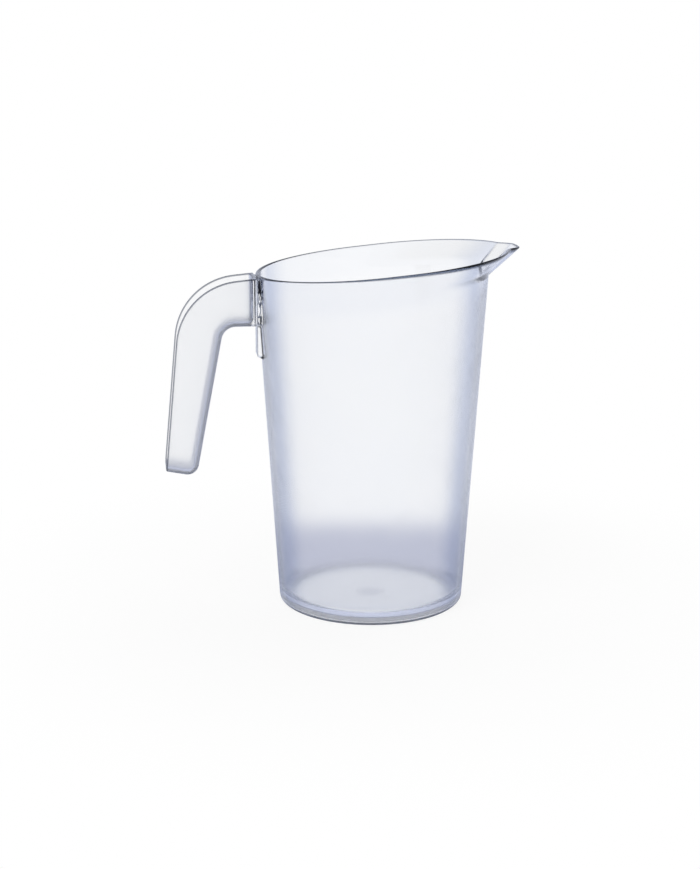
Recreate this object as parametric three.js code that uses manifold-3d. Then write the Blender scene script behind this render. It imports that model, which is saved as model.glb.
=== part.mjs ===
// Clear plastic pouring jug with a slanted rim, a drawn-out lip with a beak, and a bonded hook handle.
// Millimetres, +Z up. The body's axis is Z, the foot stands on z = 0, the beak points along +X and the
// handle is on the -X side.

import * as THREE from 'three';
import { mergeVertices } from 'three/addons/utils/BufferGeometryUtils.js';
import Module from 'manifold-3d';

// Body: a round tapered wall, cut off by a slanted rim
const FOOT_RADIUS = 52.6; // outside of the wall's cone at the table
const MOUTH_RADIUS = 65; // outside of the wall's cone at the rim's height on the axis
const RIM_HEIGHT = 195.3; // rim above the table, on the axis
const RIM_TILT = 5.6; // degrees, rising towards the beak
const WALL = 2.2;
const FLOOR = 3; // height of the inside floor above the table
const FOOT_ROUND = 2.6; // outer corner between wall and foot
const FLOOR_ROUND = 9; // inner corner between wall and floor
const FOOT_WIDTH = 5; // flat ring that the jug stands on
const FOOT_RECESS = 0.8; // hollow of the underside within that ring
const GATE_RADIUS = 7.5; // flat round boss in the middle of the underside
const GATE_HEIGHT = 0.4;

// Lip and beak: the front half of the rim is drawn forward, and a blunt beak stands ahead of it
const LIP_REACH = 11.8; // forward shift of the lip at the rim
const LIP_DEPTH = 12; // height of the lip below the rim
const LIP_BEND = 5; // height over which the wall bends into the lip and into the beak's keel
const BEAK_REACH = 5.6; // projection of the pouring edge ahead of the lip
const BEAK_WIDTH = 19; // length of the pouring edge, between the beak's flanks
const BEAK_RADIUS = 70; // radius of the pouring edge in plan
const BEAK_FLARE = 35; // degrees between the flanks and the direction of pouring
const BEAK_DEPTH = 19; // start of the beak's keel below the rim
const BEAK_DIP = 0.5; // drop of the pouring edge below the slant of the rim
const BEAK_ROUND = 3.5; // rounding of the corners between pouring edge and flanks
const BEAK_FILLET = 1.2; // rounding of the creases between lip and flanks

// Pad: a wedge between the leaning wall and the upright root of the handle, with a tongue below the handle
const PAD_DROP = 2; // top of the pad below the rim
const PAD_RISE = 0.1; // face of the pad outside the wall at its top
const PAD_SINK = 7; // depth of the pad behind its face, before the inside of the wall is cut away
const TONGUE_WIDTH = 14;
const TONGUE_LENGTH = 43; // from the top of the pad
const TONGUE_SLANT = 24; // degrees, drop of the tongue's foot towards the wall

// Handle: an open hook of channel section, closed at the root and at the tip
const HANDLE_DROP = 0.8; // top of the handle below the rim at the wall
const ARM_DEPTH = 26.8; // height of the upper arm at its root
const BACK_REACH = 41.7; // wall to the corner where the top and back lines would meet
const BACK_LEAN = 5.7; // degrees from upright, outwards going down
const BACK_BEND = 37; // radius of the outer bend
const FINGER_GAP = 20.2; // wall to grip, at the level of the arm's underside
const GRIP_LEAN = 11.1; // degrees from upright, outwards going down
const GRIP_BEND = 8; // radius of the inner bend
const GRIP_LENGTH = 85.4; // along the grip, from the arm's underside to the tip
const GRIP_WIDTH = 26;
const GRIP_ROUND = 5; // rounding of the edges that the hand holds
const GRIP_WEB = 2.6; // wall under the fingers, at the tip and at the root
const GRIP_SIDE = 2.2; // side walls of the channel
const TIP_ROUND = 6.5; // corner of the tip, seen from the side
const BOND_GAP = 0.3; // glue line between pad and handle

// Fineness of the round surfaces
const BODY_SEGMENTS = 96;
const FRONT_CROWDING = 0.7; // draws the body's meridians together towards the beak
const LIP_LEVELS = 8;
const ROUND_STEPS = 4;
const BEND_STEPS = 6;

const CLEAR_PLASTIC = { color: '#dfe4f1', roughness: 0.08, metalness: 0, transparent: true, opacity: 0.35 };

const { degToRad, radToDeg, lerp, clamp } = THREE.MathUtils;
const wasm = await Module();
wasm.setup();

const coneSlope = (MOUTH_RADIUS - FOOT_RADIUS) / RIM_HEIGHT;
const wallLean = radToDeg(Math.atan(coneSlope)); // from upright, outwards going up
const rimSlope = Math.tan(degToRad(RIM_TILT));
const bendTop = FLOOR + FLOOR_ROUND;
const lipZone = Math.max(LIP_DEPTH, BEAK_DEPTH) + LIP_BEND;
const rimRound = WALL / 2;

const rimBehind = RIM_HEIGHT - rimSlope * MOUTH_RADIUS;
const handleTop = rimBehind - HANDLE_DROP;
const underside = handleTop - ARM_DEPTH;
const padTop = rimBehind - PAD_DROP;
const tongueFoot = padTop - TONGUE_LENGTH;

const coneRadius = (height) => FOOT_RADIUS + coneSlope * height;
const padFace = coneRadius(padTop) + PAD_RISE;
const rootFace = padFace + BOND_GAP;
const overlength = 2 * GRIP_ROUND; // of the hook at its root, top and back, before it is trimmed

function solidFrom(geometry) {
  const bare = geometry.clone();
  bare.deleteAttribute('normal');
  bare.deleteAttribute('uv');
  const merged = mergeVertices(bare, 1e-4);
  const triVerts = [];
  const index = merged.index.array;
  for (let i = 0; i < index.length; i += 3) {
    const [a, b, c] = index.slice(i, i + 3);
    if (a !== b && b !== c && c !== a) triVerts.push(a, b, c);
  }
  const vertProperties = new Float32Array(merged.attributes.position.array);
  const mesh = new wasm.Mesh({ numProp: 3, vertProperties, triVerts: new Uint32Array(triVerts) });
  return new wasm.Manifold(mesh);
}

function meshFrom(solid, name) {
  const { vertProperties, triVerts } = solid.getMesh();
  const geometry = new THREE.BufferGeometry();
  geometry.setAttribute('position', new THREE.BufferAttribute(vertProperties, 3));
  geometry.setIndex(new THREE.BufferAttribute(triVerts, 1));
  const mesh = new THREE.Mesh(geometry, new THREE.MeshStandardMaterial(CLEAR_PLASTIC));
  mesh.name = name;
  return mesh;
}

// Moves every vertex of a geometry to the point that the function returns for it.
function reshape(geometry, move) {
  const position = geometry.attributes.position;
  const point = new THREE.Vector3();
  for (let i = 0; i < position.count; i += 1) {
    const moved = move(point.fromBufferAttribute(position, i));
    position.setXYZ(i, moved.x, moved.y, moved.z);
  }
  return geometry;
}

// Straight ramp from 1 at the rim to 0 at its full depth, with a bend at its foot.
function ramp(depth, fullDepth) {
  const rise = fullDepth - depth;
  if (rise <= -LIP_BEND / 2) return 0;
  if (rise >= LIP_BEND / 2) return rise / fullDepth;
  return (rise + LIP_BEND / 2) ** 2 / (2 * LIP_BEND * fullDepth);
}

// Polar radius of a round wall whose front half is moved forward, with straight flanks in between.
function lipRadius(angle, radius, shift) {
  const along = Math.cos(angle);
  const across = Math.abs(Math.sin(angle));
  if (along <= 0) return radius;
  if (radius * along <= shift * across) return radius / across;
  return shift * along + Math.sqrt(radius ** 2 - (shift * across) ** 2);
}

// Larger of two radii, with the crease between them filled a little.
function blendedMax(a, b, reach) {
  const closeness = Math.max(0, 1 - Math.abs(a - b) / reach);
  return Math.max(a, b) + (closeness ** 2 * reach) / 4;
}

// Polar radius of the beak at one level, or 0 beside it: a curved front between two slanted flanks.
function beakRadius(angle, keel, halfWidth, inset) {
  const radius = BEAK_RADIUS - inset;
  const centre = keel - BEAK_RADIUS;
  const offset = Math.abs(centre * Math.sin(angle));
  const facing = degToRad(90 - BEAK_FLARE);
  if (Math.abs(angle) >= facing || offset >= radius) return 0;
  const front = centre * Math.cos(angle) + Math.sqrt(radius ** 2 - offset ** 2);
  const flankDistance = keel * Math.cos(facing) + halfWidth * Math.sin(facing) - inset;
  const flank = flankDistance / Math.cos(Math.abs(angle) - facing);
  return -blendedMax(-front, -flank, BEAK_ROUND);
}

// Outline of the body at one level. The inset is 0 on the outside and WALL on the inside.
function outlineAt(angle, height, depth, inset) {
  const cone = coneRadius(height);
  const lip = lipRadius(angle, cone - inset, LIP_REACH * ramp(depth, LIP_DEPTH));
  const growth = ramp(depth, BEAK_DEPTH);
  const keel = cone + (LIP_REACH + BEAK_REACH) * growth;
  const beak = beakRadius(angle, keel, (BEAK_WIDTH / 2) * growth, inset);
  return { lip, radius: depth < lipZone ? blendedMax(lip, beak, BEAK_FILLET) : lip };
}

// Height of the slanted rim at one angle, with the dip of the pouring edge.
function rimHeight(angle) {
  const height = RIM_HEIGHT + rimSlope * MOUTH_RADIUS * Math.cos(angle);
  const { lip, radius } = outlineAt(angle, height, 0, WALL / 2);
  const ahead = (radius - lip) / BEAK_REACH;
  return RIM_HEIGHT + rimSlope * radius * Math.cos(angle) - BEAK_DIP * ahead;
}

// Half section of the body before the rim is slanted and the lip drawn out.
function bodyProfile() {
  const floorEdge = coneRadius(bendTop) - WALL - FLOOR_ROUND / Math.cos(degToRad(wallLean));
  const footEdge = coneRadius(FOOT_ROUND) - FOOT_ROUND / Math.cos(degToRad(wallLean));
  const zoneStart = RIM_HEIGHT - lipZone;
  const zoneEnd = RIM_HEIGHT - rimRound;
  const profile = [];
  const add = (radius, height) => profile.push(new THREE.Vector2(radius, height));
  const addRound = (radius, height, size, from, to, steps) => {
    for (let i = 0; i <= steps; i += 1) {
      const angle = degToRad(lerp(from, to, i / steps));
      add(radius + size * Math.cos(angle), height + size * Math.sin(angle));
    }
  };
  const addZone = (inset, from, to) => {
    for (let i = 0; i < LIP_LEVELS; i += 1) {
      const height = lerp(from, to, i / LIP_LEVELS);
      add(coneRadius(height) - inset, height);
    }
  };
  add(0, FOOT_RECESS - GATE_HEIGHT);
  add(GATE_RADIUS, FOOT_RECESS - GATE_HEIGHT);
  add(GATE_RADIUS + GATE_HEIGHT, FOOT_RECESS);
  add(footEdge - FOOT_WIDTH - FOOT_RECESS, FOOT_RECESS);
  add(footEdge - FOOT_WIDTH, 0);
  addRound(footEdge, FOOT_ROUND, FOOT_ROUND, -90, -wallLean, ROUND_STEPS);
  addZone(0, zoneStart, zoneEnd);
  addRound(coneRadius(zoneEnd) - rimRound, zoneEnd, rimRound, 0, 180, ROUND_STEPS);
  addZone(WALL, zoneEnd, zoneStart);
  add(coneRadius(zoneStart) - WALL, zoneStart);
  addRound(floorEdge, bendTop, FLOOR_ROUND, -wallLean, -90, ROUND_STEPS);
  add(0, FLOOR);
  return profile;
}

// The body without its pad: a revolved profile, with its rim slanted and its lip and beak drawn forward.
function bodyShell() {
  const geometry = new THREE.LatheGeometry(bodyProfile(), BODY_SEGMENTS).rotateX(Math.PI / 2);
  return solidFrom(reshape(geometry, (point) => {
    const radius = Math.hypot(point.x, point.y);
    const even = Math.atan2(point.y, point.x);
    const angle = even - FRONT_CROWDING * Math.sin(even);
    const depth = RIM_HEIGHT - point.z;
    const share = clamp((point.z - bendTop) / (RIM_HEIGHT - lipZone - bendTop), 0, 1);
    const height = point.z + share * (rimHeight(angle) - RIM_HEIGHT);
    const inset = coneRadius(point.z) - radius;
    const moved = share > 0 ? outlineAt(angle, height, depth, inset).radius : radius;
    return point.set(moved * Math.cos(angle), moved * Math.sin(angle), height);
  }));
}

const unit = (degrees) => {
  const angle = degToRad(degrees);
  return new THREE.Vector2(Math.cos(angle), Math.sin(angle));
};

// Adds the handle's top line, outer bend and the start of its back to a side view, moved outwards by a
// spare. Returns the point where the bend runs out into the back line.
function drawBack(shape, start, spare) {
  const topAngle = 90 + RIM_TILT;
  const backAngle = 180 - BACK_LEAN;
  const reach = BACK_BEND / Math.cos(degToRad((backAngle - topAngle) / 2));
  const cornerHeight = handleTop - BACK_REACH * rimSlope;
  const corner = new THREE.Vector2(-coneRadius(handleTop) - BACK_REACH, cornerHeight);
  const centre = corner.addScaledVector(unit((topAngle + backAngle) / 2), -reach);
  const radius = BACK_BEND + spare;
  const bendStart = centre.clone().addScaledVector(unit(topAngle), radius);
  shape.moveTo(start, bendStart.y + (start - bendStart.x) * rimSlope);
  shape.lineTo(bendStart.x, bendStart.y);
  shape.absarc(centre.x, centre.y, radius, degToRad(topAngle), degToRad(backAngle), false);
  return centre.clone().addScaledVector(unit(backAngle), radius);
}

// Side view of the hook in X and Z, from its root on. The grip's face and the tip lie deeper by an inset,
// the top and the back further out by a spare.
function hookShape(root, inset, spare) {
  const shape = new THREE.Shape();
  const backStart = drawBack(shape, root, spare);

  const down = unit(270 - GRIP_LEAN);
  const out = unit(180 - GRIP_LEAN);
  const gripCorner = new THREE.Vector2(-coneRadius(underside) - FINGER_GAP, underside);
  const gripEnd = gripCorner.clone().addScaledVector(down, GRIP_LENGTH - inset);
  const tipCorner = gripEnd.addScaledVector(out, inset);
  const alongBack = unit(270 - BACK_LEAN);
  const depthAtTip = backStart.clone().sub(tipCorner).cross(alongBack) / out.cross(alongBack);
  const tipBack = tipCorner.clone().addScaledVector(out, depthAtTip);
  const tipRound = TIP_ROUND - inset;
  const tipCentre = tipCorner.clone().addScaledVector(down, -tipRound).addScaledVector(out, tipRound);
  shape.lineTo(tipBack.x, tipBack.y);
  shape.absarc(tipCentre.x, tipCentre.y, tipRound,
    degToRad(270 - GRIP_LEAN), degToRad(360 - GRIP_LEAN), false);

  const bendReach = GRIP_BEND * Math.tan(degToRad(45 - GRIP_LEAN / 2));
  const bendRadius = GRIP_BEND + inset;
  shape.absarc(gripCorner.x + bendReach, underside - GRIP_BEND, bendRadius,
    degToRad(180 - GRIP_LEAN), degToRad(90), true);
  shape.lineTo(root, underside + inset);
  shape.closePath();
  return shape;
}

// A side view in X and Z made solid across Y, with rounded side edges.
function acrossSolid(shape, width, round) {
  const geometry = new THREE.ExtrudeGeometry(shape, {
    depth: width - 2 * round,
    curveSegments: BEND_STEPS,
    bevelEnabled: round > 0,
    bevelThickness: round,
    bevelSize: round,
    bevelOffset: -round,
    bevelSegments: ROUND_STEPS,
  });
  geometry.rotateX(Math.PI / 2).translate(0, width / 2 - round, 0);
  return solidFrom(geometry);
}

// The space between the handle's root face and its back, much longer and wider than the handle.
function frontOfBack() {
  const shape = new THREE.Shape();
  const backStart = drawBack(shape, -rootFace, 0);
  const end = backStart.clone().addScaledVector(unit(270 - BACK_LEAN), 2 * GRIP_LENGTH);
  shape.lineTo(end.x, end.y);
  shape.lineTo(-rootFace, end.y);
  shape.closePath();
  return acrossSolid(shape, 2 * GRIP_WIDTH, 0);
}

// The hook before it is trimmed and its channel is cut.
function wholeHook() {
  return acrossSolid(hookShape(overlength - rootFace, 0, overlength), GRIP_WIDTH, GRIP_ROUND);
}

// A tapered plug that fills the jug up to the middle of its wall, between two levels.
function plugSolid(low, high) {
  const lowRadius = coneRadius(low) - WALL / 2;
  const highRadius = coneRadius(high) - WALL / 2;
  const geometry = new THREE.CylinderGeometry(highRadius, lowRadius, high - low, BODY_SEGMENTS);
  return solidFrom(geometry.rotateX(Math.PI / 2).translate(0, 0, (low + high) / 2));
}

// The pad, upright while the wall leans: as wide as the handle beside its root, with a narrower tongue
// below.
function padSolid() {
  const slantedFoot = tongueFoot - PAD_SINK * Math.tan(degToRad(TONGUE_SLANT));
  const shape = new THREE.Shape();
  shape.moveTo(-padFace, padTop);
  shape.lineTo(-padFace, tongueFoot);
  shape.lineTo(PAD_SINK - padFace, slantedFoot);
  shape.lineTo(PAD_SINK - padFace, padTop);
  shape.closePath();
  const besideRoot = acrossSolid(shape, 2 * GRIP_WIDTH, 0).intersect(wholeHook());
  const plug = plugSolid(slantedFoot - WALL, padTop + WALL);
  return acrossSolid(shape, TONGUE_WIDTH, 0).add(besideRoot).subtract(plug);
}

function makeBody() {
  return bodyShell().add(padSolid());
}

function makeHandle() {
  const channelShape = hookShape(-rootFace - GRIP_WEB, GRIP_WEB, overlength);
  const channel = acrossSolid(channelShape, GRIP_WIDTH - 2 * GRIP_SIDE, GRIP_ROUND - GRIP_SIDE);
  return wholeHook().intersect(frontOfBack()).subtract(channel);
}

const jug = new THREE.Group();
jug.add(meshFrom(makeBody(), 'jug_body'));
jug.add(meshFrom(makeHandle(), 'handle'));

export default jug;
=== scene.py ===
"""Clear plastic pitcher: a tapered jug with a slanted rim and a beak, and a hook handle, on a white stage."""

import math

import bpy
from mathutils import Matrix, Vector


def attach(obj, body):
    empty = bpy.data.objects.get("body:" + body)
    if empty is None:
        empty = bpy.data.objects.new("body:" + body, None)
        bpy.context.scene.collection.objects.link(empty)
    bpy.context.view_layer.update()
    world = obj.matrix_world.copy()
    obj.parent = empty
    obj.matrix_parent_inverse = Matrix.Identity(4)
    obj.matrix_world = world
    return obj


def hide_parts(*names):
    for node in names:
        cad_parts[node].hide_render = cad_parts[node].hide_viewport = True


bl_info = {
    "name": "Clear Plastic Pitcher",
    "version": (1, 0, 0),
    "blender": (4, 5, 0),
    "location": "View3D > Sidebar > Pitcher",
    "description": "Models a clear plastic pitcher with a hook handle, its stage and its camera",
    "category": "Add Mesh",
}

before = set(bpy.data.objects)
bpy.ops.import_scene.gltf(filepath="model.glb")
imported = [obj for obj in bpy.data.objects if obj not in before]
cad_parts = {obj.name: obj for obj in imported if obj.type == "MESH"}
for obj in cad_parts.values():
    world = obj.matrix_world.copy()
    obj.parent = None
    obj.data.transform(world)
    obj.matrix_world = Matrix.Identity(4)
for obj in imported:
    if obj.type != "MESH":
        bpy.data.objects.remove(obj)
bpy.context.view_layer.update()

BODY = "root"
PLASTIC_SLOT = "clear_plastic"
PLASTIC_KEY = "plastic"  # scene property that keeps the material
IMAGE_WIDTH = 700  # pixels of the picture's frame
SEED_SIZE = 0.001  # plane that a drawn line starts from
MERGE_DISTANCE = 1e-6
SAME_SPOT = 1e-5  # distance within which two points of an outline count as one
SMOOTH_ANGLE = math.radians(35)
SHARP_ANGLE = math.radians(40)
NORMAL_WEIGHT = 80
# name of the attribute that holds how dark the painted shade along the free edges is
EDGE_SHADE_MARKS = "edge"
BAND_FADE = 0.3  # faded share of a band's width
NOISE_MIDDLE = 0.5
CLIP_START = 0.01
CLIP_END = 100.0
WHITE = (1.0, 1.0, 1.0, 1.0)
LAMPS = (
    {"name": "key_lamp", "place": (-0.9, -0.9, 1.5), "size": 1.0, "power": 12.0},
    {"name": "top_lamp", "place": (0.4, 0.6, 1.8), "size": 1.4, "power": 10.0},
)


def length(name, description, default):
    return bpy.props.FloatProperty(name=name, description=description, default=default,
                                   unit="LENGTH", precision=5)


def angle(name, description, default):
    return bpy.props.FloatProperty(name=name, description=description, default=math.radians(default),
                                   subtype="ANGLE", precision=3)


def number(name, description, default):
    return bpy.props.FloatProperty(name=name, description=description, default=default, precision=4)


def count(name, description, default):
    return bpy.props.IntProperty(name=name, description=description, default=default, min=1)


def colour(name, description, default):
    return bpy.props.FloatVectorProperty(name=name, description=description, default=default, size=3,
                                         subtype="COLOR", min=0, max=1)


class JugSizes(bpy.types.PropertyGroup):
    """Sizes of the jug's body."""

    foot_radius: length("Foot radius", "Outside of the wall's cone at the table", 0.0526)
    mouth_radius: length("Mouth radius", "Outside of the wall's cone at the rim's height on the axis", 0.065)
    rim_height: length("Rim height", "Rim above the table, on the axis", 0.1953)
    rim_tilt: angle("Rim tilt", "Slant of the rim, rising towards the beak", 5.6)
    wall: length("Wall", "Thickness of the wall", 0.0022)
    floor: length("Floor", "Height of the inside floor above the table", 0.003)
    foot_round: length("Foot round", "Outer corner between wall and foot", 0.0026)
    floor_round: length("Floor round", "Inner corner between wall and floor", 0.009)
    foot_width: length("Foot width", "Flat ring that the jug stands on", 0.005)
    foot_recess: length("Foot recess", "Hollow of the underside within the foot ring", 0.0008)
    gate_radius: length("Gate radius", "Round boss in the middle of the underside", 0.0075)
    gate_height: length("Gate height", "Height of that boss", 0.0004)
    lip_reach: length("Lip reach", "Forward shift of the lip at the rim", 0.0118)
    lip_depth: length("Lip depth", "Height of the lip below the rim", 0.012)
    lip_bend: length("Lip bend", "Height over which the wall bends into the lip", 0.005)
    beak_reach: length("Beak reach", "Projection of the pouring edge ahead of the lip", 0.0056)
    beak_width: length("Beak width", "Length of the pouring edge, between the beak's flanks", 0.019)
    beak_radius: length("Beak radius", "Radius of the pouring edge in plan", 0.07)
    beak_flare: angle("Beak flare", "Angle between the flanks and the direction of pouring", 35.0)
    beak_depth: length("Beak depth", "Start of the beak's keel below the rim", 0.019)
    beak_dip: length("Beak dip", "Drop of the pouring edge below the slant of the rim", 0.0005)
    beak_round: length("Beak round", "Rounding of the corners between pouring edge and flanks", 0.0035)
    beak_fillet: length("Beak fillet", "Rounding of the creases between lip and flanks", 0.0012)
    pad_drop: length("Pad drop", "Top of the handle's pad below the rim", 0.002)
    pad_rise: length("Pad rise", "Face of the pad outside the wall at its top", 0.0001)
    pad_sink: length("Pad sink", "Depth of the pad behind its face, before its inside is cut away", 0.007)
    tongue_width: length("Tongue width", "Width of the tongue below the handle", 0.014)
    tongue_length: length("Tongue length", "Foot of the tongue below the top of the pad", 0.043)
    tongue_slant: angle("Tongue slant", "Drop of the tongue's foot towards the wall", 24.0)
    tongue_round: length("Tongue round", "Rounding of the tongue's edges", 0.0003)
    tongue_steps: count("Tongue steps", "Steps of that rounding", 4)
    # painted shade: the bands below darken the rim, the foot and the inner ridges between lip and beak
    band_back: length("Band back", "Width of the rim's dark band behind and inside", 0.0005)
    band_front: length("Band front", "Width of the rim's dark band outside at the beak", 0.0036)
    band_narrowing: number("Band narrowing", "How soon that band narrows away from the beak", 1.8)
    band_foot: length("Band foot", "Width of the fainter band along the foot", 0.0024)
    foot_shade_share: number("Foot share", "Darkness of the band along the foot", 0.9)
    crease_shade_share: number("Crease share", "Darkness of the inner ridges between lip and beak", 0.5)
    band_crease: length("Band crease", "Half width of those ridges' dark line, along the radius", 0.0016)
    meridians: count("Meridians", "Steps round the body", 288)
    front_crowding: number("Front crowding", "Draws the meridians together towards the beak", 0.7)
    lip_levels: count("Lip levels", "Steps up the lip", 44)
    round_steps: count("Round steps", "Steps of each round corner", 10)


class HandleSizes(bpy.types.PropertyGroup):
    """Sizes of the hook handle."""

    drop: length("Drop", "Top of the handle below the rim at the wall", 0.0008)
    arm_depth: length("Arm depth", "Height of the upper arm at its root", 0.0268)
    back_reach: length("Back reach", "Wall to the corner where the top and back lines would meet", 0.0417)
    back_lean: angle("Back lean", "Lean of the back from upright, outwards going down", 5.7)
    back_bend: length("Back bend", "Radius of the outer bend", 0.037)
    finger_gap: length("Finger gap", "Wall to grip, at the level of the arm's underside", 0.0202)
    grip_lean: angle("Grip lean", "Lean of the grip from upright, outwards going down", 11.1)
    grip_bend: length("Grip bend", "Radius of the inner bend", 0.008)
    grip_length: length("Grip length", "Along the grip, from the arm's underside to the tip", 0.0854)
    grip_width: length("Grip width", "Width of the grip", 0.026)
    grip_round: length("Grip round", "Rounding of the edges that the hand holds", 0.005)
    grip_web: length("Grip web", "Wall under the fingers and at the tip", 0.0026)
    root_web: length("Root web", "Wall that closes the channel at the root", 0.002)
    grip_side: length("Grip side", "Side walls of the channel", 0.0022)
    tip_round: length("Tip round", "Corner of the tip, seen from the side", 0.0065)
    bond_gap: length("Bond gap", "Glue line between pad and handle", 0.0003)
    channel_round: length("Channel round", "Rounding of the channel's end at the root", 0.0025)
    edge_round: length("Edge round", "Rounding of the channel's edges", 0.0009)
    # painted shade along the handle's back and top edges
    edge_shade_share: number("Edge share", "Darkness of the band along the channel's edges", 0.92)
    edge_steps: count("Edge steps", "Steps of that rounding", 6)
    bend_steps: count("Bend steps", "Steps of each bend", 24)
    round_steps: count("Round steps", "Steps of each rounded edge", 8)


class PlasticLook(bpy.types.PropertyGroup):
    """Look of the clear plastic."""

    tint: colour("Tint", "Colour that each pass through a surface takes on", (0.991, 0.995, 1.0))
    cloud: colour("Cloud", "Tint where the plastic is a little denser", (0.983, 0.989, 0.998))
    cloud_scale: number("Cloud scale", "Fineness of the denser clouds", 22.0)
    cloud_detail: number("Cloud detail", "Detail of those clouds", 3.0)
    cloud_start: number("Cloud start", "Noise value where a cloud starts", 0.35)
    cloud_end: number("Cloud end", "Noise value where a cloud is full", 0.75)
    # painted shade: darker, bluer tint over the lip, under the rim
    lip_shade_tint: colour("Lip tint", "Tint of the lip, where the wall is drawn out", (0.945, 0.955, 0.975))
    # painted shade: near-black tint of the marked free edges; the bond's dark streaks take the same colour
    edge_shade_tint: colour("Edge tint", "Tint of the rounded free edges, which trap light", (0.03, 0.04, 0.07))
    # painted shade: darker, bluer tint where the wall turns away from the eye
    limb_shade_tint: colour("Limb tint", "Tint where the wall turns away from the eye", (0.67, 0.715, 0.83))
    limb_start: number("Limb start", "Grazing share where that tint starts", 0.31)
    limb_full: number("Limb full", "Grazing share where it is full", 0.6)
    limb_fall: number("Limb fall", "Grazing share where it starts to fade", 0.62)
    limb_end: number("Limb end", "Grazing share where it ends", 0.74)
    # painted shade: darker grey disc in the middle of the underside, over the gate
    gate_shade_tint: colour("Gate tint", "Tint of the matt mark in the middle of the underside", (0.7, 0.71, 0.76))
    gate_core: number("Gate core", "Full part of that mark, as a share of the gate's radius", 0.7)
    gate_edge: number("Gate edge", "Outer edge of that mark, as a share of the gate's radius", 1.1)
    depth_colour: colour("Depth colour", "Colour of long paths through the plastic", (0.5, 0.56, 0.78))
    depth_density: number("Depth density", "Strength of that colour, per metre", 2.0)
    refraction: number("Refraction", "Index of refraction", 1.49)
    roughness: number("Roughness", "Roughness of the satin surface", 0.155)
    grip_roughness: number("Grip roughness", "Further roughness of the handle", 0.145)
    lip_gloss: number("Lip gloss", "Share of the roughness that is missing on the lip", 0.7)
    base_roughness: number("Base roughness", "Further roughness of the matt underside", 0.5)
    smear: number("Smear", "Further roughness in faint smears", 0.06)
    smear_scale: number("Smear scale", "Fineness of those smears", 55.0)
    smear_detail: number("Smear detail", "Detail of those smears", 5.0)
    smear_distortion: number("Smear distortion", "Distortion of those smears", 0.6)
    smear_start: number("Smear start", "Noise value where a smear starts", 0.5)
    smear_end: number("Smear end", "Noise value where a smear is full", 0.8)
    ripple: length("Ripple", "Height of the faint moulding ripples", 0.00002)
    ripple_scale: number("Ripple scale", "Fineness of those ripples", 90.0)
    ripple_detail: number("Ripple detail", "Detail of those ripples", 1.0)
    bond_ripple: length("Bond ripple", "Height of the waves along the bond between pad and handle", 0.0003)
    wave_scale: number("Wave scale", "Fineness of those waves", 420.0)
    wave_detail: number("Wave detail", "Detail of those waves", 1.0)
    wave_stretch: number("Wave stretch", "Fineness of those waves up the bond, as a share", 0.35)
    bond_reach: length("Bond reach", "Width of the wavy zone in the pad beside the root", 0.0018)
    streak: number("Streak", "Width of the dark streaks in the bond, as a share of its waves", 0.1)


class StageLook(bpy.types.PropertyGroup):
    """Floor, surroundings and camera."""

    floor_size: length("Floor size", "Side of the floor", 12.0)
    floor_gap: length("Floor gap", "Floor below the foot", 0.0002)
    table_depth: length("Table depth", "Reach of the greyer table that is seen through the jug", 0.14)
    table_width: length("Table width", "Reach of that table to the sides", 0.45)
    table_blur: length("Table blur", "Soft edge of that table", 0.05)
    table_colour: colour("Table colour", "Colour of that table", (0.55, 0.567, 0.675))
    # painted light: a lighter patch of the table under the jug, seen through its floor
    lit_patch_radius: length("Base radius", "Reach of the table's lighter part under the jug", 0.047)
    lit_patch_blur: length("Base blur", "Soft edge of that part", 0.012)
    lit_patch_colour: colour("Base colour", "Colour of that part", (1.0, 1.0, 1.0))
    wall_colour: colour("Wall colour", "What the inside mirrors above the horizon", (0.9, 0.92, 1.0))
    front_colour: colour("Front colour", "What the outside mirrors on the near side", (0.34, 0.38, 0.52))
    backdrop_colour: colour("Backdrop colour", "What the outside mirrors behind the jug", (0.75, 0.79, 0.92))
    backdrop_near: length("Backdrop near", "Distance behind the axis where the backdrop starts", 0.03)
    backdrop_far: length("Backdrop far", "Distance behind the axis where the floor is all backdrop", 0.2)
    backdrop_edge: angle("Backdrop edge", "Half width of the backdrop, from straight behind the jug", 60.0)
    backdrop_core: angle("Backdrop core", "Half width of its full colour", 25.0)
    room_colour: colour("Room colour", "What the inside mirrors below the horizon", (0.6, 0.64, 0.79))
    deep_colour: colour("Deep colour", "What is mirrored after several reflections", (0.75, 0.78, 0.88))
    deep_start: number("Deep start", "Number of reflections after which that colour starts", 1.0)
    deep_end: number("Deep end", "Number of reflections after which it is full", 3.0)
    ceiling: number("Ceiling", "Brightness of the surroundings overhead", 0.12)
    ceiling_start: angle("Ceiling start", "Height above the horizon where it starts to darken", 18.0)
    ceiling_end: angle("Ceiling end", "Height above the horizon where it is darkest", 50.0)
    shadow_share: number("Shadow share", "Share of the floor beside the jug that takes light and shadow", 0.1)
    shadow_near: length("Shadow near", "Distance from the axis up to which the floor takes that share", 0.1)
    shadow_far: length("Shadow far", "Distance from the axis where the floor takes no shadow", 0.3)
    azimuth: angle("Azimuth", "Camera's place round the jug", -8.73)
    elevation: angle("Elevation", "Camera's height round the jug", 14.35)
    distance: length("Distance", "Camera to the point that it faces", 0.908)
    aim_height: length("Aim height", "Height of that point on the jug's axis", 0.09)
    focal: number("Focal length", "Focal length in pixels of the picture", 1593.0)
    pan: number("Pan", "Offset of that point from the picture's middle, in pixels to the right", 21.2)
    tilt: number("Tilt", "Offset of that point from the picture's middle, in pixels down", 10.3)
    roll: angle("Roll", "Turn of the picture", 0.27)


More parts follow.
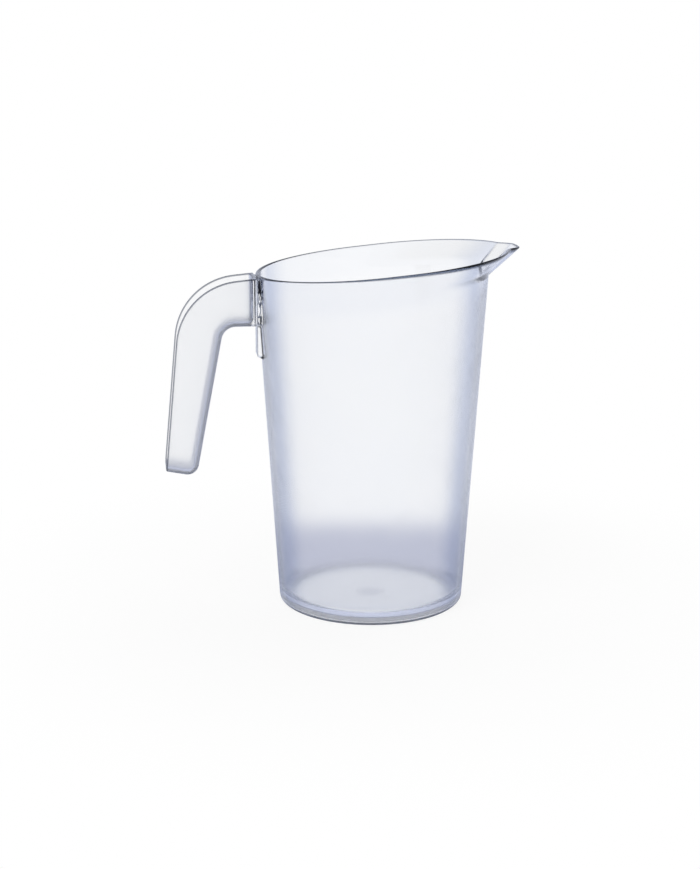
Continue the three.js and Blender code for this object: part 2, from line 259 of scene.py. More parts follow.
class Wire:
    """A shader socket whose arithmetic adds Math nodes."""

    def __init__(self, shader, socket):
        self.shader = shader
        self.socket = socket

    def math(self, operation, first, second):
        return self.shader.node("ShaderNodeMath", {"operation": operation}, {0: first, 1: second})

    def __add__(self, other):
        return self.math("ADD", self, other)

    def __radd__(self, other):
        return self.math("ADD", other, self)

    def __sub__(self, other):
        return self.math("SUBTRACT", self, other)

    def __rsub__(self, other):
        return self.math("SUBTRACT", other, self)

    def __mul__(self, other):
        return self.math("MULTIPLY", self, other)

    def __rmul__(self, other):
        return self.math("MULTIPLY", other, self)


class Shader:
    """The node tree of one material or world."""

    def __init__(self, owner):
        owner.use_nodes = True
        self.tree = owner.node_tree
        self.tree.nodes.clear()

    def node(self, kind, settings, sockets, output=0):
        """Adds a node, sets it up, feeds its sockets and returns one of its outputs."""
        made = self.tree.nodes.new(kind)
        for key, value in settings.items():
            setattr(made, key, value)
        for key, value in sockets.items():
            if isinstance(value, Wire):
                self.tree.links.new(value.socket, made.inputs[key])
            else:
                made.inputs[key].default_value = value
        return Wire(self, made.outputs[output]) if made.outputs else None

    def mix(self, share, first, second):
        """Blends two colours."""
        return self.node("ShaderNodeMix", {"data_type": "RGBA"}, {0: share, 6: first, 7: second}, 2)

    def noise(self, place, scale, detail, distortion=0.0):
        """Noise between 0 and 1."""
        return self.node("ShaderNodeTexNoise", {}, {
            "Vector": place,
            "Scale": scale,
            "Detail": detail,
            "Distortion": distortion,
        })

    def ramp(self, value, low, high):
        """Smooth step from 0 at the low value to 1 at the high one."""
        return self.node("ShaderNodeMapRange", {"interpolation_type": "SMOOTHSTEP"},
                         {"Value": value, "From Min": low, "From Max": high})


def rgba(values):
    return (*values, 1.0)


def arc(centre, radius, start, end, steps):
    """Points of a round stretch between two angles in degrees."""
    points = []
    for i in range(steps + 1):
        turn = math.radians(start + (end - start) * i / steps)
        points.append(centre + radius * Vector((math.cos(turn), math.sin(turn))))
    return points


def unit(degrees):
    """Direction at an angle in degrees."""
    return Vector((math.cos(math.radians(degrees)), math.sin(math.radians(degrees))))


def draw_line(name, points):
    """Starts a mesh in edit mode as a line through points of the XZ plane."""
    bpy.ops.object.select_all(action="DESELECT")
    bpy.ops.mesh.primitive_plane_add(size=SEED_SIZE)
    piece = bpy.context.object
    piece.name = name
    piece.data.name = name
    bpy.ops.object.mode_set(mode="EDIT")
    bpy.ops.mesh.select_mode(type="VERT")
    bpy.ops.mesh.select_all(action="SELECT")
    bpy.ops.mesh.merge(type="CENTER")
    place = Vector((0, 0))
    for point in points:
        step = point - place
        move = {"value": (step.x, 0, step.y)}
        if point is points[0]:
            bpy.ops.transform.translate(**move)
        else:
            bpy.ops.mesh.extrude_region_move(TRANSFORM_OT_translate=move)
        place = point
    return piece


def draw_plate(name, points, width):
    """A closed outline of the XZ plane made solid across Y. Stays in edit mode."""
    piece = draw_line(name, points)
    bpy.ops.mesh.select_all(action="SELECT")
    bpy.ops.mesh.edge_face_add()
    bpy.ops.transform.translate(value=(0, -width / 2, 0))
    bpy.ops.mesh.extrude_region_move(TRANSFORM_OT_translate={"value": (0, width, 0)})
    bpy.ops.mesh.select_all(action="SELECT")
    bpy.ops.mesh.normals_make_consistent(inside=False)
    return piece


def select_edges(piece, wanted):
    """Selects the edges whose two end points pass a test. The piece is in edit mode before and after."""
    bpy.ops.mesh.select_mode(type="EDGE")
    bpy.ops.mesh.select_all(action="DESELECT")
    bpy.ops.object.mode_set(mode="OBJECT")
    vertices = piece.data.vertices
    for edge in piece.data.edges:
        first, second = (vertices[i].co for i in edge.vertices)
        edge.select = wanted(first, second)
    bpy.ops.object.mode_set(mode="EDIT")


def make_active(piece):
    bpy.ops.object.select_all(action="DESELECT")
    piece.select_set(True)
    bpy.context.view_layer.objects.active = piece


def apply_modifier(piece, kind, settings):
    """Adds a modifier, sets it up and applies it."""
    make_active(piece)
    bpy.ops.object.modifier_add(type=kind)
    modifier = piece.modifiers[-1]
    for key, value in settings.items():
        setattr(modifier, key, value)
    bpy.ops.object.modifier_apply(modifier=modifier.name)


def combine(piece, other, operation):
    """Joins another solid to a piece or cuts it out, and removes that solid."""
    apply_modifier(piece, "BOOLEAN", {"operation": operation, "object": other, "solver": "EXACT"})
    bpy.data.objects.remove(other)


def finish_piece(piece, node, material):
    """Smooths a piece's shading and puts it in its CAD node's place."""
    make_active(piece)
    bpy.ops.object.shade_smooth_by_angle(angle=SMOOTH_ANGLE)
    apply_modifier(piece, "WEIGHTED_NORMAL", {"keep_sharp": True, "weight": NORMAL_WEIGHT})
    piece.data.materials.clear()
    piece.data.materials.append(material)
    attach(piece, BODY)
    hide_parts(node)


def cone_radius(sizes, height):
    """Outer radius of the tapered wall at one height."""
    return sizes.foot_radius + (sizes.mouth_radius - sizes.foot_radius) * height / sizes.rim_height


def rim_behind(sizes):
    """Height of the rim at the handle."""
    return sizes.rim_height - math.tan(sizes.rim_tilt) * sizes.mouth_radius


def pad_levels(sizes):
    """Foot and top of the handle's pad."""
    top = rim_behind(sizes) - sizes.pad_drop
    return top - sizes.tongue_length, top


def pad_face(sizes):
    """Distance of the pad's face from the jug's axis."""
    return cone_radius(sizes, pad_levels(sizes)[1]) + sizes.pad_rise


def lip_zone(sizes):
    return max(sizes.lip_depth, sizes.beak_depth) + sizes.lip_bend


def jug_profile(sizes):
    """Half section of the body before its rim is slanted and its lip drawn out, as radius and height."""
    steps = sizes.round_steps
    lean = math.atan((sizes.mouth_radius - sizes.foot_radius) / sizes.rim_height)
    bend_top = sizes.floor + sizes.floor_round
    foot_edge = cone_radius(sizes, sizes.foot_round) - sizes.foot_round / math.cos(lean)
    floor_edge = cone_radius(sizes, bend_top) - sizes.wall - sizes.floor_round / math.cos(lean)
    rim_round = sizes.wall / 2
    zone_low = sizes.rim_height - lip_zone(sizes)
    zone_high = sizes.rim_height - rim_round
    levels = [zone_low + (zone_high - zone_low) * i / sizes.lip_levels for i in range(sizes.lip_levels)]
    gate_face = sizes.foot_recess - sizes.gate_height
    ring = foot_edge - sizes.foot_width

    def wall_point(height, inset):
        return Vector((cone_radius(sizes, height) - inset, height))

    profile = [Vector((0, gate_face)), Vector((sizes.gate_radius, gate_face))]
    profile += [Vector((sizes.gate_radius + sizes.gate_height, sizes.foot_recess))]
    profile += [Vector((ring - sizes.foot_recess, sizes.foot_recess)), Vector((ring, 0))]
    profile += arc(Vector((foot_edge, sizes.foot_round)), sizes.foot_round, -90, -math.degrees(lean), steps)
    profile += [wall_point(bend_top, 0)]
    profile += [wall_point(height, 0) for height in levels]
    profile += arc(wall_point(zone_high, rim_round), rim_round, 0, 180, steps)
    profile += [wall_point(height, sizes.wall) for height in reversed(levels)]
    profile += arc(Vector((floor_edge, bend_top)), sizes.floor_round, -math.degrees(lean), -90, steps)
    profile += [Vector((0, sizes.floor))]
    return profile


def ramp_up(sizes, depth, full_depth):
    """Straight ramp from 1 at the rim to 0 at its full depth, with a bend at its foot."""
    half_bend = sizes.lip_bend / 2
    rise = full_depth - depth
    if rise <= -half_bend:
        return 0.0
    if rise >= half_bend:
        return rise / full_depth
    return (rise + half_bend) ** 2 / (4 * half_bend * full_depth)


def lip_radius(turn, radius, shift):
    """Polar radius of a round wall whose front half is moved forward, with straight flanks in between."""
    along = math.cos(turn)
    across = abs(math.sin(turn))
    if along <= 0:
        return radius
    if radius * along <= shift * across:
        return radius / across
    return shift * along + math.sqrt(radius ** 2 - (shift * across) ** 2)


def closeness(first, second, reach):
    """Falls from 1 where two radii agree to 0 where they differ by the reach."""
    return max(0.0, 1 - abs(first - second) / reach)


def blended_max(first, second, reach):
    """Larger of two radii, with the crease between them filled a little."""
    return max(first, second) + closeness(first, second, reach) ** 2 * reach / 4


def beak_outline(sizes, turn, keel, half_width, inset):
    """Polar radius of the beak at one level, or 0 beside it: a curved front between two slanted flanks."""
    radius = sizes.beak_radius - inset
    centre = keel - sizes.beak_radius
    offset = abs(centre * math.sin(turn))
    facing = math.pi / 2 - sizes.beak_flare
    if abs(turn) >= facing or offset >= radius:
        return 0.0
    front = centre * math.cos(turn) + math.sqrt(radius ** 2 - offset ** 2)
    flank_distance = keel * math.cos(facing) + half_width * math.sin(facing) - inset
    flank = flank_distance / math.cos(abs(turn) - facing)
    return -blended_max(-front, -flank, sizes.beak_round)


def mouth_outline(sizes, turn, height, depth, inset):
    """Radii of the lip and of lip and beak together, and how strong their crease is, at one spot."""
    cone = cone_radius(sizes, height)
    lip = lip_radius(turn, cone - inset, sizes.lip_reach * ramp_up(sizes, depth, sizes.lip_depth))
    if depth >= lip_zone(sizes):
        return lip, lip, 0.0
    growth = ramp_up(sizes, depth, sizes.beak_depth)
    keel = cone + (sizes.lip_reach + sizes.beak_reach) * growth
    beak = beak_outline(sizes, turn, keel, sizes.beak_width / 2 * growth, inset)
    crease = 4 * growth * (1 - growth) * closeness(lip, beak, sizes.band_crease)
    return lip, blended_max(lip, beak, sizes.beak_fillet), crease


def rim_level(sizes, turn):
    """Height of the slanted rim at one angle, with the dip of the pouring edge."""
    slope = math.tan(sizes.rim_tilt)
    height = sizes.rim_height + slope * sizes.mouth_radius * math.cos(turn)
    lip, radius, _ = mouth_outline(sizes, turn, height, 0, sizes.wall / 2)
    ahead = (radius - lip) / sizes.beak_reach
    return sizes.rim_height + slope * radius * math.cos(turn) - sizes.beak_dip * ahead


def draw_out_mouth(sizes, piece):
    """Slants the rim of the turned body and draws its lip and beak forward."""
    level = sizes.floor + sizes.floor_round
    zone_low = sizes.rim_height - lip_zone(sizes)
    for vertex in piece.data.vertices:
        x, y, z = vertex.co
        radius = math.hypot(x, y)
        even = math.atan2(y, x)
        turn = even - sizes.front_crowding * math.sin(even)
        share = min(max((z - level) / (zone_low - level), 0.0), 1.0)
        height = z + share * (rim_level(sizes, turn) - sizes.rim_height)
        if share > 0:
            inset = cone_radius(sizes, z) - radius
            _, radius, _ = mouth_outline(sizes, turn, height, sizes.rim_height - z, inset)
        vertex.co = (radius * math.cos(turn), radius * math.sin(turn), height)


def arm_underside(jug, sizes):
    """Height of the underside of the handle's arm."""
    return rim_behind(jug) - sizes.drop - sizes.arm_depth


def hook_outline(jug, sizes, root, inset, spare):
    """Side view of the hook from its root on, and the points of it that the hand holds.

    The grip's face and the tip lie deeper by the inset, the top and the back further out by the spare.
    """
    slope = math.tan(jug.rim_tilt)
    top = rim_behind(jug) - sizes.drop
    underside = arm_underside(jug, sizes)
    back_lean = math.degrees(sizes.back_lean)
    grip_lean = math.degrees(sizes.grip_lean)
    top_angle = 90 + math.degrees(jug.rim_tilt)
    back_angle = 180 - back_lean

    middle = (top_angle + back_angle) / 2
    corner_reach = sizes.back_bend / math.cos(math.radians((back_angle - top_angle) / 2))
    corner = Vector((-cone_radius(jug, top) - sizes.back_reach, top - sizes.back_reach * slope))
    bend = arc(corner - corner_reach * unit(middle), sizes.back_bend + spare, top_angle, back_angle,
               sizes.bend_steps)

    down = unit(270 - grip_lean)
    out = unit(180 - grip_lean)
    grip_corner = Vector((-cone_radius(jug, underside) - sizes.finger_gap, underside))
    tip_corner = grip_corner + (sizes.grip_length - inset) * down + inset * out
    along_back = unit(270 - back_lean)
    tip_depth = (bend[-1] - tip_corner).cross(along_back) / out.cross(along_back)
    tip_round = sizes.tip_round - inset
    tip_centre = tip_corner - tip_round * down + tip_round * out
    bend_reach = sizes.grip_bend * math.tan(math.radians(45 - grip_lean / 2))
    inner_centre = Vector((grip_corner.x + bend_reach, underside - sizes.grip_bend))

    held = [tip_corner + tip_depth * out]
    held += arc(tip_centre, tip_round, 270 - grip_lean, 360 - grip_lean, sizes.bend_steps)
    held += arc(inner_centre, sizes.grip_bend + inset, 180 - grip_lean, 90, sizes.bend_steps)
    held += [Vector((root, underside + inset))]
    start = Vector((root, bend[0].y + (root - bend[0].x) * slope))
    return [start] + bend + held, held


def make_hook(name, jug, sizes, root, inset, spare, width, edge_round):
    """A solid hook with its held edges rounded."""
    points, held = hook_outline(jug, sizes, root, inset, spare)
    hook = draw_plate(name, points, width)

    def is_held(point):
        return any((Vector((point.x, point.z)) - spot).length < SAME_SPOT for spot in held)

    select_edges(hook, lambda a, b: abs(a.y - b.y) < MERGE_DISTANCE and is_held(a) and is_held(b))
    bpy.ops.mesh.bevel(offset=edge_round, segments=sizes.round_steps, affect="EDGES")
    bpy.ops.object.mode_set(mode="OBJECT")
    return hook


def make_channel(jug, sizes, root):
    """The solid that is cut out of the hook's back, with its end at the root rounded."""
    end = root - sizes.root_web
    width = sizes.grip_width - 2 * sizes.grip_side
    spare = 2 * sizes.grip_round
    edge_round = sizes.grip_round - sizes.grip_side
    channel = make_hook("channel", jug, sizes, end, sizes.grip_web, spare, width, edge_round)
    above = rim_behind(jug)

    def closes_root(a, b):
        return min(a.x, b.x) > end - MERGE_DISTANCE and min(a.z, b.z) < above

    bpy.ops.object.mode_set(mode="EDIT")
    select_edges(channel, closes_root)
    bpy.ops.mesh.bevel(offset=sizes.channel_round, segments=sizes.round_steps, affect="EDGES")
    bpy.ops.object.mode_set(mode="OBJECT")
    return channel


def make_pad(jug, sizes):
    """The wedge on the back of the wall: as wide as the handle beside its root, with a tongue below."""
    foot, top = pad_levels(jug)
    face = -pad_face(jug)
    slanted_foot = foot - jug.pad_sink * math.tan(jug.tongue_slant)
    points = [
        Vector((face, top)),
        Vector((face, foot)),
        Vector((face + jug.pad_sink, slanted_foot)),
        Vector((face + jug.pad_sink, top)),
    ]
    wedge = draw_plate("wedge", points, 2 * sizes.grip_width)
    bpy.ops.object.mode_set(mode="OBJECT")
    root = face + 2 * jug.pad_sink
    beside_root = make_hook("beside_root", jug, sizes, root, 0, 0, sizes.grip_width, sizes.grip_round)
    combine(beside_root, wedge, "INTERSECT")

    def lies_on_face(a, b):
        return max(a.x, b.x) < face + MERGE_DISTANCE and min(a.z, b.z) < top - MERGE_DISTANCE

    pad = draw_plate("pad", points, jug.tongue_width)
    select_edges(pad, lies_on_face)
    bpy.ops.mesh.bevel(offset=jug.tongue_round, segments=jug.tongue_steps, affect="EDGES")
    bpy.ops.object.mode_set(mode="OBJECT")
    combine(pad, beside_root, "UNION")

    low = slanted_foot - jug.wall
    high = top + jug.wall
    bpy.ops.object.select_all(action="DESELECT")
    bpy.ops.mesh.primitive_cone_add(
        vertices=jug.meridians,
        radius1=cone_radius(jug, low) - jug.wall / 2,
        radius2=cone_radius(jug, high) - jug.wall / 2,
        depth=high - low,
        location=(0, 0, (low + high) / 2),
    )
    combine(pad, bpy.context.object, "DIFFERENCE")
    return pad


def line_distance(point, line):
    """Distance of a point from a line through several points."""
    distances = []
    for first, second in zip(line, line[1:]):
        along = second - first
        share = min(max((point - first).dot(along) / along.length_squared, 0.0), 1.0)
        distances.append((point - first - share * along).length)
    return min(distances)


def mark_edge_shade(piece, band_at):
    """Stores how dark the painted shade along the free edges is at each vertex, from 0 to 1."""
    marks = piece.data.attributes.new(EDGE_SHADE_MARKS, "FLOAT", "POINT")
    for vertex, mark in zip(piece.data.vertices, marks.data):
        mark.value = band_at(vertex.co)


def band(depth, width):
    """A band that is full from the edge to most of its width and then fades out."""
    return min(max((1 - depth / width) / BAND_FADE, 0.0), 1.0)


def jug_shade_band(sizes, spot):
    """Painted shade: the dark band along the rim, widest outside at the beak, and the fainter ones along foot
    and ridges.
    """
    turn = math.atan2(spot.y, spot.x)
    radius = math.hypot(spot.x, spot.y)
    level = rim_level(sizes, turn)
    _, middle, crease = mouth_outline(sizes, turn, spot.z, level - spot.z, sizes.wall / 2)
    forward = ((1 + math.cos(turn)) / 2) ** sizes.band_narrowing
    outside = radius > middle
    widening = (sizes.band_front - sizes.band_back) * forward if outside else 0.0
    on_foot = radius > sizes.foot_radius - sizes.foot_round / 2
    foot = sizes.foot_shade_share * band(spot.z, sizes.band_foot) if on_foot else 0.0
    ridge = 0.0 if outside else sizes.crease_shade_share * crease
    return max(band(level - spot.z, sizes.band_back + widening), foot, ridge)


def round_free_edges(handle, sizes, root):
    """Rounds the sharp edges of the handle except those of its root face."""
    make_active(handle)
    bpy.ops.object.mode_set(mode="EDIT")
    bpy.ops.mesh.select_mode(type="EDGE")
    bpy.ops.mesh.select_all(action="DESELECT")
    bpy.ops.mesh.edges_select_sharp(sharpness=SHARP_ANGLE)
    bpy.ops.object.mode_set(mode="OBJECT")
    vertices = handle.data.vertices
    for edge in handle.data.edges:
        if all(vertices[i].co.x > root - MERGE_DISTANCE for i in edge.vertices):
            edge.select = False
    bpy.ops.object.mode_set(mode="EDIT")
    bpy.ops.mesh.bevel(offset=sizes.edge_round, segments=sizes.edge_steps, affect="EDGES")
    bpy.ops.object.mode_set(mode="OBJECT")


def clear_plastic(look, jug, underside):
    """Clear moulded plastic with a satin skin, uneven in density and finish, with painted shade at its free
    edges, along the limb, over the lip and at the gate.
    """
    material = bpy.data.materials.new(PLASTIC_SLOT)
    shader = Shader(material)
    place = shader.node("ShaderNodeTexCoord", {}, {}, "Object")
    across = shader.node("ShaderNodeSeparateXYZ", {}, {0: place}, "X")
    height = shader.node("ShaderNodeSeparateXYZ", {}, {0: place}, "Z")
    flat = shader.node("ShaderNodeVectorMath", {"operation": "MULTIPLY"}, {0: place, 1: (1, 1, 0)})
    radius = shader.node("ShaderNodeVectorMath", {"operation": "LENGTH"}, {0: flat}, "Value")
    stretch = (1, 1, look.wave_stretch)
    stretched = shader.node("ShaderNodeVectorMath", {"operation": "MULTIPLY"}, {0: place, 1: stretch})
    clouds = shader.noise(place, look.cloud_scale, look.cloud_detail)
    smears = shader.noise(place, look.smear_scale, look.smear_detail, look.smear_distortion)
    ripples = shader.noise(place, look.ripple_scale, look.ripple_detail)
    waves = shader.noise(stretched, look.wave_scale, look.wave_detail)

    face = pad_face(jug)
    base = 1 - shader.ramp(height, jug.foot_recess, 2 * jug.foot_recess)
    gate_rim = shader.ramp(radius, look.gate_core * jug.gate_radius, look.gate_edge * jug.gate_radius)
    # painted shade: a darker disc in the middle of the underside
    gate = base * (1 - gate_rim)
    held = 1 - shader.ramp(across, -face - 2 * look.bond_reach, -face - look.bond_reach)
    below_rim = jug.rim_height + math.tan(jug.rim_tilt) * across - height
    lip = (1 - held) * (1 - shader.ramp(below_rim, jug.lip_depth, lip_zone(jug)))
    half_reach = look.bond_reach / 2
    from_bond = shader.node("ShaderNodeMath", {"operation": "ABSOLUTE"}, {0: across + face - half_reach})
    beside_root = shader.ramp(height, underside - look.bond_reach, underside)
    bond = beside_root * (1 - shader.ramp(from_bond, half_reach, look.bond_reach))

    from_crest = shader.node("ShaderNodeMath", {"operation": "ABSOLUTE"}, {0: waves - NOISE_MIDDLE})
    streaks = bond * (1 - shader.ramp(from_crest, look.streak / 2, look.streak))
    edge = shader.node("ShaderNodeAttribute", {"attribute_name": EDGE_SHADE_MARKS}, {}, "Fac")
    inside = shader.node("ShaderNodeNewGeometry", {}, {}, "Backfacing")
    # painted shade at the marked free edges, where they face the eye, joined by the bond's dark streaks
    dark = shader.node("ShaderNodeMath", {"operation": "MAXIMUM"}, {0: edge * (1 - inside), 1: streaks})
    # painted shade along the limb, by how far the surface turns away from the eye
    grazing = shader.node("ShaderNodeLayerWeight", {}, {}, "Facing")
    limb_inner = shader.ramp(grazing, look.limb_start, look.limb_full)
    limb_shade = limb_inner * (1 - shader.ramp(grazing, look.limb_fall, look.limb_end))

    cloudy = shader.ramp(clouds, look.cloud_start, look.cloud_end)
    skin = shader.mix(cloudy, rgba(look.tint), rgba(look.cloud))
    # painted shade over the lip and along the limb
    body = shader.mix(limb_shade, shader.mix(lip, skin, rgba(look.lip_shade_tint)), rgba(look.limb_shade_tint))
    tint = shader.mix(gate, shader.mix(dark, body, rgba(look.edge_shade_tint)), rgba(look.gate_shade_tint))
    satin = look.roughness + look.smear * shader.ramp(smears, look.smear_start, look.smear_end)
    roughness = satin * (1 - look.lip_gloss * lip) + look.grip_roughness * held + look.base_roughness * base
    relief = look.ripple * ripples + look.bond_ripple * (bond * waves)
    normal = shader.node("ShaderNodeBump", {}, {"Height": relief, "Distance": 1.0, "Strength": 1.0})
    surface = shader.node("ShaderNodeBsdfPrincipled", {}, {
        "Base Color": tint,
        "Roughness": roughness,
        "Normal": normal,
        "IOR": look.refraction,
        "Transmission Weight": 1.0,
    })
    depth = shader.node("ShaderNodeVolumeAbsorption", {}, {
        "Color": rgba(look.depth_colour),
        "Density": look.depth_density,
    })
    shader.node("ShaderNodeOutputMaterial", {}, {"Surface": surface, "Volume": depth})
    return material


def plastic_of(scene):
    """The scene's clear plastic, made on first use."""
    if PLASTIC_KEY not in scene:
        underside = arm_underside(scene.pitcher_jug, scene.pitcher_handle)
        scene[PLASTIC_KEY] = clear_plastic(scene.pitcher_plastic, scene.pitcher_jug, underside)
    return scene[PLASTIC_KEY]


def mirrored_room(shader, look, room, behind):
    """Share of a light path that has been mirrored, and what it then meets."""
    mirrored = shader.node("ShaderNodeLightPath", {}, {}, "Glossy Depth")
    inside = shader.node("ShaderNodeLightPath", {}, {}, "Transmission Depth")
    outside = shader.mix(behind, rgba(look.front_colour), rgba(look.backdrop_colour))
    near = shader.mix(inside, outside, rgba(room))
    deep = shader.ramp(mirrored, look.deep_start, look.deep_end)
    return mirrored, shader.mix(deep, near, rgba(look.deep_colour))


def floor_material(look):
    """A white floor that keeps a soft shadow, with a greyer table that is seen only through the jug and a
    painted pool of light on that table under the jug.
    """
    material = bpy.data.materials.new("white_floor")
    shader = Shader(material)
    place = shader.node("ShaderNodeTexCoord", {}, {}, "Object")
    reach = shader.node("ShaderNodeVectorMath", {"operation": "LENGTH"}, {0: place}, "Value")
    turned = shader.node("ShaderNodeMapping", {"vector_type": "TEXTURE"}, {
        "Vector": place,
        "Rotation": (0, 0, look.azimuth),
        "Scale": (look.table_width / look.table_depth, 1, 1),
    })
    table_reach = shader.node("ShaderNodeVectorMath", {"operation": "LENGTH"}, {0: turned}, "Value")
    half_blur = look.table_blur / 2
    beyond = shader.ramp(table_reach, look.table_depth - half_blur, look.table_depth + half_blur)
    half_patch_blur = look.lit_patch_blur / 2
    # painted light: the lighter patch of the table under the jug
    beside = shader.ramp(reach, look.lit_patch_radius - half_patch_blur, look.lit_patch_radius + half_patch_blur)
    seen = shader.node("ShaderNodeLightPath", {}, {}, "Is Camera Ray")
    along_view = shader.node("ShaderNodeMapping", {"vector_type": "TEXTURE"}, {
        "Vector": place,
        "Rotation": (0, 0, look.azimuth),
    })
    distance = shader.node("ShaderNodeSeparateXYZ", {}, {0: along_view}, "Y")
    behind = shader.ramp(distance, look.backdrop_near, look.backdrop_far)
    mirrored, room = mirrored_room(shader, look, look.room_colour, behind)
    table = shader.mix(beside, rgba(look.lit_patch_colour), rgba(look.table_colour))
    through = shader.mix(mirrored, shader.mix(beyond, table, WHITE), room)
    shown = shader.mix(seen, through, WHITE)
    glow = shader.node("ShaderNodeEmission", {}, {"Color": shown, "Strength": 1.0})
    lit = shader.node("ShaderNodeBsdfDiffuse", {}, {"Color": WHITE})
    share = seen * look.shadow_share * (1 - shader.ramp(reach, look.shadow_near, look.shadow_far))
    surface = shader.node("ShaderNodeMixShader", {}, {0: share, 1: glow, 2: lit})
    shader.node("ShaderNodeOutputMaterial", {}, {"Surface": surface})
    return material


def surroundings(look):
    """A white world that darkens overhead, and that the surfaces mirror in the room's colour."""
    world = bpy.data.worlds.new("studio")
    shader = Shader(world)
    place = shader.node("ShaderNodeTexCoord", {}, {}, "Generated")
    height = shader.node("ShaderNodeSeparateXYZ", {}, {0: place}, "Z")
    overhead = shader.ramp(height, math.sin(look.ceiling_start), math.sin(look.ceiling_end))
    seen = shader.node("ShaderNodeLightPath", {}, {}, "Is Camera Ray")
    forward = (-math.sin(look.azimuth), math.cos(look.azimuth), 0)
    facing = shader.node("ShaderNodeVectorMath", {"operation": "DOT_PRODUCT"}, {0: place, 1: forward},
                         "Value")
    behind = shader.ramp(facing, math.cos(look.backdrop_edge), math.cos(look.backdrop_core))
    mirrored, wall = mirrored_room(shader, look, look.wall_colour, behind)
    ceiling = rgba((look.ceiling,) * 3)
    through = shader.mix(overhead, shader.mix(mirrored, WHITE, wall), ceiling)
    shown = shader.mix(seen, through, WHITE)
    background = shader.node("ShaderNodeBackground", {}, {"Color": shown, "Strength": 1.0})
    shader.node("ShaderNodeOutputWorld", {}, {"Surface": background})
    return world


def add_lamp(name, place, size, power):
    """A square soft lamp that faces the jug."""
    bpy.ops.object.light_add(type="AREA", location=place)
    lamp = bpy.context.object
    lamp.name = name
    lamp.data.size = size
    lamp.data.energy = power
    lamp.visible_glossy = False
    lamp.visible_transmission = False
    lamp.rotation_euler = (-Vector(place)).to_track_quat("-Z", "Y").to_euler()


def add_camera(look):
    """A camera at the picture's viewing angle."""
    aim = Vector((0, 0, look.aim_height))
    offset = Vector((math.sin(look.azimuth) * math.cos(look.elevation),
                     -math.cos(look.azimuth) * math.cos(look.elevation),
                     math.sin(look.elevation)))
    bpy.ops.object.camera_add(location=aim + look.distance * offset)
    camera = bpy.context.object
    facing = (-offset).to_track_quat("-Z", "Y").to_matrix() @ Matrix.Rotation(look.roll, 3, "Z")
    camera.rotation_euler = facing.to_euler()
    camera.data.sensor_fit = "HORIZONTAL"
    camera.data.lens = look.focal / IMAGE_WIDTH * camera.data.sensor_width
    camera.data.shift_x = -look.pan / IMAGE_WIDTH
    camera.data.shift_y = look.tilt / IMAGE_WIDTH
    camera.data.clip_start = CLIP_START
    camera.data.clip_end = CLIP_END
    bpy.context.scene.camera = camera


class PITCHER_OT_body(bpy.types.Operator):
    """Turn the body, draw out its lip and beak and add the pad for the handle"""

    bl_idname = "pitcher.body"
    bl_label = "Body"

    def execute(self, context):
        sizes = context.scene.pitcher_jug
        body = draw_line("pitcher_body", jug_profile(sizes))
        bpy.ops.mesh.select_all(action="SELECT")
        bpy.ops.mesh.spin(steps=sizes.meridians, angle=2 * math.pi, center=(0, 0, 0), axis=(0, 0, 1))
        bpy.ops.mesh.select_all(action="SELECT")
        bpy.ops.mesh.remove_doubles(threshold=MERGE_DISTANCE)
        bpy.ops.mesh.normals_make_consistent(inside=False)
        bpy.ops.object.mode_set(mode="OBJECT")
        draw_out_mouth(sizes, body)
        combine(body, make_pad(sizes, context.scene.pitcher_handle), "UNION")
        mark_edge_shade(body, lambda spot: jug_shade_band(sizes, spot))
        finish_piece(body, "jug_body", plastic_of(context.scene))
        return {"FINISHED"}


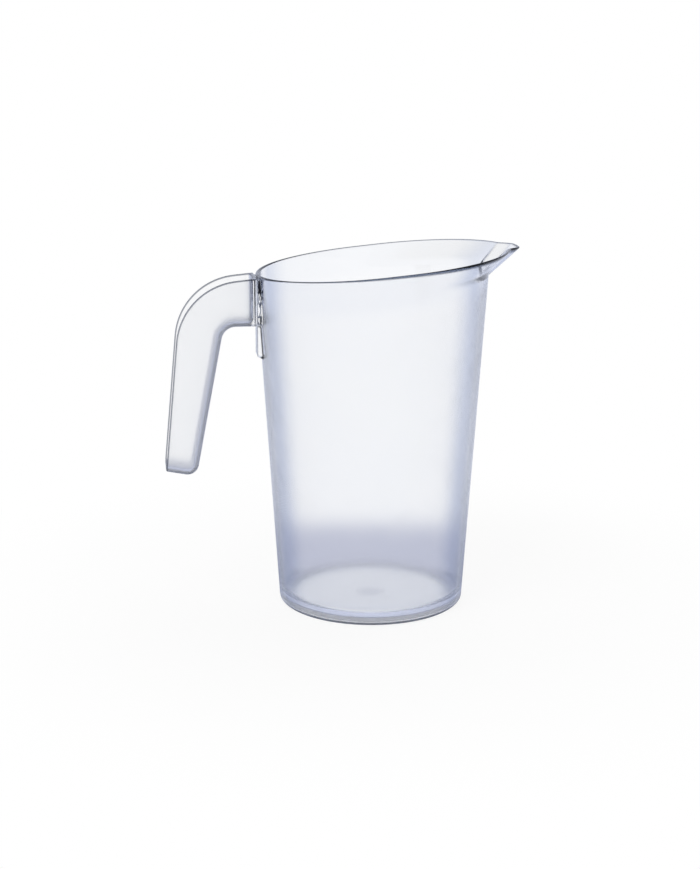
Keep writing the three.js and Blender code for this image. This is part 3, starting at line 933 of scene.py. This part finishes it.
class PITCHER_OT_handle(bpy.types.Operator):
    """Shape the hook handle and cut its channel"""

    bl_idname = "pitcher.handle"
    bl_label = "Handle"

    def execute(self, context):
        jug = context.scene.pitcher_jug
        sizes = context.scene.pitcher_handle
        root = -pad_face(jug) - sizes.bond_gap
        handle = make_hook("hook_handle", jug, sizes, root, 0, 0, sizes.grip_width, sizes.grip_round)
        combine(handle, make_channel(jug, sizes, root), "DIFFERENCE")
        round_free_edges(handle, sizes, root)
        points, held = hook_outline(jug, sizes, root, 0, 0)
        back = points[:1 - len(held)]

        # painted shade along the handle's back and top line
        def edge_shade_band(spot):
            depth = line_distance(Vector((spot.x, spot.z)), back)
            return sizes.edge_shade_share * band(depth, sizes.edge_round)

        mark_edge_shade(handle, edge_shade_band)
        finish_piece(handle, "handle", plastic_of(context.scene))
        return {"FINISHED"}


class PITCHER_OT_stage(bpy.types.Operator):
    """Set up the floor, the surroundings, the lamps and the camera"""

    bl_idname = "pitcher.stage"
    bl_label = "Stage"

    def execute(self, context):
        look = context.scene.pitcher_stage
        bpy.ops.mesh.primitive_plane_add(size=look.floor_size, location=(0, 0, -look.floor_gap))
        floor = context.object
        floor.name = "floor"
        floor.data.materials.append(floor_material(look))
        context.scene.world = surroundings(look)
        for lamp in LAMPS:
            add_lamp(**lamp)
        add_camera(look)
        context.scene.view_settings.view_transform = "Standard"
        return {"FINISHED"}


class PITCHER_PT_panel(bpy.types.Panel):
    """Lists the operators of the pitcher"""

    bl_idname = "PITCHER_PT_panel"
    bl_label = "Pitcher"
    bl_space_type = "VIEW_3D"
    bl_region_type = "UI"
    bl_category = "Pitcher"

    def draw(self, context):
        for operator in OPERATORS:
            self.layout.operator(operator.bl_idname)


OPERATORS = (PITCHER_OT_stage, PITCHER_OT_body, PITCHER_OT_handle)
GROUPS = {"pitcher_jug": JugSizes, "pitcher_handle": HandleSizes, "pitcher_plastic": PlasticLook,
          "pitcher_stage": StageLook}


def register():
    for name, group in GROUPS.items():
        bpy.utils.register_class(group)
        setattr(bpy.types.Scene, name, bpy.props.PointerProperty(type=group))
    for item in (*OPERATORS, PITCHER_PT_panel):
        bpy.utils.register_class(item)


def unregister():
    for item in (PITCHER_PT_panel, *reversed(OPERATORS)):
        bpy.utils.unregister_class(item)
    for name, group in reversed(GROUPS.items()):
        delattr(bpy.types.Scene, name)
        bpy.utils.unregister_class(group)


def main():
    register()
    bpy.ops.pitcher.stage()
    bpy.ops.pitcher.body()
    bpy.ops.pitcher.handle()


if __name__ == "__main__":
    main()
